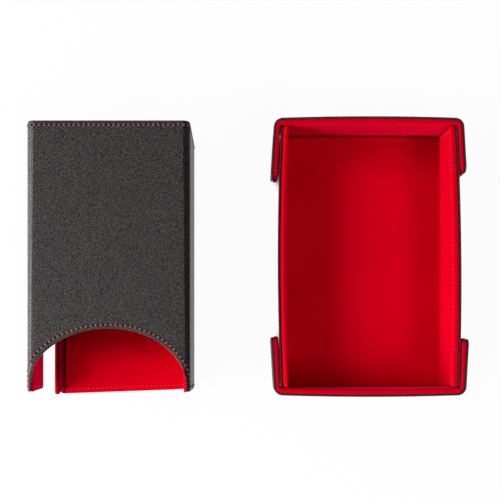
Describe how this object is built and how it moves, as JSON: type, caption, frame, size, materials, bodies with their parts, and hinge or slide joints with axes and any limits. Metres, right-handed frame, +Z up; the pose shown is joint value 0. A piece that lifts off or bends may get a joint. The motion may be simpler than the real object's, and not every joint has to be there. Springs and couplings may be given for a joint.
{
  "type": "dice tower with tray",
  "caption": "Folding dice tower lying on its back with an arched exit, beside a shallow rectangular dice tray with corner tabs; leatherette outside, velvet inside.",
  "frame": {"origin": "middle of the tray's underside, on the table", "axes": "+X from the tower to the tray, +Y towards the tower's mouth and the tray's far end, +Z up"},
  "size_m": [0.3291, 0.2088, 0.065],
  "materials": {
    "leatherette": "black, fine grain, satin",
    "velvet": "red velvet, short pile",
    "board": "stiff greyboard, matt",
    "magnet": "nickel plate"
  },
  "bodies": {
    "tray_base": {"tray_floor_board": "board", "tray_floor_lining": "velvet", "tray_floor_skin": "leatherette"},
    "near_wall": {"tray_near_wall_board": "board", "tray_near_wall_lining": "velvet", "tray_near_wall_skin": "leatherette"},
    "far_wall": {"tray_far_wall_board": "board", "tray_far_wall_lining": "velvet", "tray_far_wall_skin": "leatherette"},
    "left_wall": {"tray_left_wall_board": "board", "tray_left_wall_far_magnet": "magnet", "tray_left_wall_lining": "velvet", "tray_left_wall_near_magnet": "magnet", "tray_left_wall_skin": "leatherette"},
    "right_wall": {"tray_right_wall_board": "board", "tray_right_wall_far_magnet": "magnet", "tray_right_wall_lining": "velvet", "tray_right_wall_near_magnet": "magnet", "tray_right_wall_skin": "leatherette"},
    "near_left_tab": {"near_left_tab_board": "board", "near_left_tab_lining": "velvet", "near_left_tab_magnet": "magnet", "near_left_tab_skin": "leatherette"},
    "near_right_tab": {"near_right_tab_board": "board", "near_right_tab_lining": "velvet", "near_right_tab_magnet": "magnet", "near_right_tab_skin": "leatherette"},
    "far_left_tab": {"far_left_tab_board": "board", "far_left_tab_lining": "velvet", "far_left_tab_magnet": "magnet", "far_left_tab_skin": "leatherette"},
    "far_right_tab": {"far_right_tab_board": "board", "far_right_tab_lining": "velvet", "far_right_tab_magnet": "magnet", "far_right_tab_skin": "leatherette"},
    "tower_back": {"lower_baffle_strip": "velvet", "tower_back_board": "board", "tower_back_lining": "velvet", "tower_back_skin": "leatherette"},
    "tower_right": {"tower_right_board": "board", "tower_right_lining": "velvet", "tower_right_skin": "leatherette"},
    "tower_front": {"tower_front_board": "board", "tower_front_lining": "velvet", "tower_front_skin": "leatherette", "upper_baffle_strip": "velvet"},
    "tower_left": {"tower_left_board": "board", "tower_left_lining": "velvet", "tower_left_lower_magnet": "magnet", "tower_left_skin": "leatherette", "tower_left_upper_magnet": "magnet"},
    "closing_flap": {"closing_flap_board": "board", "closing_flap_lining": "velvet", "closing_flap_lower_magnet": "magnet", "closing_flap_skin": "leatherette", "closing_flap_upper_magnet": "magnet"},
    "upper_baffle": {"upper_baffle_board": "board", "upper_baffle_sleeve": "velvet"},
    "lower_baffle": {"lower_baffle_board": "board", "lower_baffle_sleeve": "velvet"}
  },
  "joints": [
    {"name": "near_wall_fold", "type": "hinge", "parent": "tray_base", "child": "near_wall", "pos_m": [0, -0.10143, 0.00187], "axis": [1, 0, 0], "range_deg": [0, 90]},
    {"name": "far_wall_fold", "type": "hinge", "parent": "tray_base", "child": "far_wall", "pos_m": [0, 0.10143, 0.00187], "axis": [-1, 0, 0], "range_deg": [0, 90]},
    {"name": "left_wall_fold", "type": "hinge", "parent": "tray_base", "child": "left_wall", "pos_m": [-0.059, 0, 0.0056], "axis": [0, 1, 0], "range_deg": [0, 80]},
    {"name": "right_wall_fold", "type": "hinge", "parent": "tray_base", "child": "right_wall", "pos_m": [0.059, 0, 0.0056], "axis": [0, -1, 0], "range_deg": [0, 80]},
    {"name": "near_left_tab_fold", "type": "hinge", "parent": "near_wall", "child": "near_left_tab", "pos_m": [-0.06872, -0.10143, 0.018], "axis": [0, 0, 1], "range_deg": [-1, 87.5]},
    {"name": "near_right_tab_fold", "type": "hinge", "parent": "near_wall", "child": "near_right_tab", "pos_m": [0.07032, -0.10143, 0.018], "axis": [0, 0, -1], "range_deg": [-1, 87.5]},
    {"name": "far_left_tab_fold", "type": "hinge", "parent": "far_wall", "child": "far_left_tab", "pos_m": [-0.06872, 0.10143, 0.018], "axis": [0, 0, -1], "range_deg": [-1, 87.5]},
    {"name": "far_right_tab_fold", "type": "hinge", "parent": "far_wall", "child": "far_right_tab", "pos_m": [0.06872, 0.10143, 0.018], "axis": [0, 0, 1], "range_deg": [-1, 87.5]},
    {"name": "tower_lift", "type": "slide", "parent": "tray_base", "child": "tower_back", "axis": [0, 0, 1], "range_m": [0, 0.12]},
    {"name": "right_fold", "type": "hinge", "parent": "tower_back", "child": "tower_right", "pos_m": [-0.13366, -0.0037, 0.00146], "axis": [0, 1, 0], "range_deg": [0, 50]},
    {"name": "front_fold", "type": "hinge", "parent": "tower_right", "child": "tower_front", "pos_m": [-0.13236, -0.0037, 0.06352], "axis": [0, 1, 0], "range_deg": [0, 90]},
    {"name": "left_fold", "type": "hinge", "parent": "tower_front", "child": "tower_left", "pos_m": [-0.24444, -0.0037, 0.06352], "axis": [0, 1, 0], "range_deg": [-8.3, 81.6]},
    {"name": "flap_fold", "type": "hinge", "parent": "tower_back", "child": "closing_flap", "pos_m": [-0.23594, -0.0037, 0.00146], "axis": [0, -1, 0], "range_deg": [0, 28]},
    {"name": "upper_baffle_fold", "type": "hinge", "parent": "tower_front", "child": "upper_baffle", "pos_m": [-0.1884, 0.0538, 0.06009], "axis": [-1, 0, 0], "range_deg": [0, 43]},
    {"name": "lower_baffle_fold", "type": "hinge", "parent": "tower_back", "child": "lower_baffle", "pos_m": [-0.1884, -0.0022, 0.0049], "axis": [1, 0, 0], "range_deg": [0, 43]}
  ]
}
